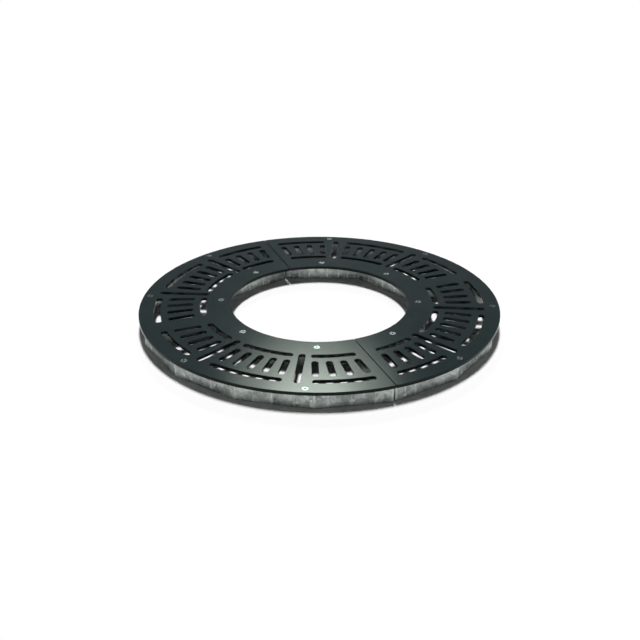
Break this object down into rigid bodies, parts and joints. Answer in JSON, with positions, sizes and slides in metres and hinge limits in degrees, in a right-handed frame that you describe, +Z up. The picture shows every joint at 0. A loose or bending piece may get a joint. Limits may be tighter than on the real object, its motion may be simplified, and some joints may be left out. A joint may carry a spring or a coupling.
{
  "type": "tree grate",
  "caption": "Round split steel tree grate: dark coated slotted deck plates screwed to a galvanised box-section frame, with a round opening for the trunk.",
  "frame": {"origin": "on the ground at the middle of the trunk opening", "axes": "+Z up out of the deck, X along the joint line between the two halves, front half toward -Y and rear half toward +Y"},
  "size_m": [1.2, 1.1998, 0.06],
  "materials": {
    "deck_coat": "satin dark anthracite coat on steel plate",
    "galvanised": "hot-dip galvanised with grey spangle",
    "stainless": "bright stainless"
  },
  "bodies": {
    "front_half": {"deck_plate_front": "deck_coat", "end_tube_front_1": "galvanised", "end_tube_front_2": "galvanised", "inner_screw_front_1": "stainless", "inner_screw_front_2": "stainless", "inner_screw_front_3": "stainless", "inner_screw_front_4": "stainless", "inner_tube_front_1": "galvanised", "inner_tube_front_2": "galvanised", "inner_tube_front_3": "galvanised", "inner_tube_front_4": "galvanised", "mid_tube_front": "galvanised", "outer_screw_front_1": "stainless", "outer_screw_front_2": "stainless", "outer_screw_front_3": "stainless", "outer_screw_front_4": "stainless", "outer_tube_front_1": "galvanised", "outer_tube_front_2": "galvanised", "outer_tube_front_3": "galvanised", "outer_tube_front_4": "galvanised", "outer_tube_front_5": "galvanised", "outer_tube_front_6": "galvanised", "outer_tube_front_7": "galvanised", "outer_tube_front_8": "galvanised"},
    "rear_half": {"deck_plate_rear": "deck_coat", "end_tube_rear_1": "galvanised", "end_tube_rear_2": "galvanised", "inner_screw_rear_1": "stainless", "inner_screw_rear_2": "stainless", "inner_screw_rear_3": "stainless", "inner_screw_rear_4": "stainless", "inner_tube_rear_1": "galvanised", "inner_tube_rear_2": "galvanised", "inner_tube_rear_3": "galvanised", "inner_tube_rear_4": "galvanised", "mid_tube_rear": "galvanised", "outer_screw_rear_1": "stainless", "outer_screw_rear_2": "stainless", "outer_screw_rear_3": "stainless", "outer_screw_rear_4": "stainless", "outer_tube_rear_1": "galvanised", "outer_tube_rear_2": "galvanised", "outer_tube_rear_3": "galvanised", "outer_tube_rear_4": "galvanised", "outer_tube_rear_5": "galvanised", "outer_tube_rear_6": "galvanised", "outer_tube_rear_7": "galvanised", "outer_tube_rear_8": "galvanised"}
  },
  "joints": [
    {"name": "rear_half_lift", "type": "slide", "parent": "front_half", "child": "rear_half", "axis": [0, 0, 1], "range_m": [0, 0.4]}
  ]
}
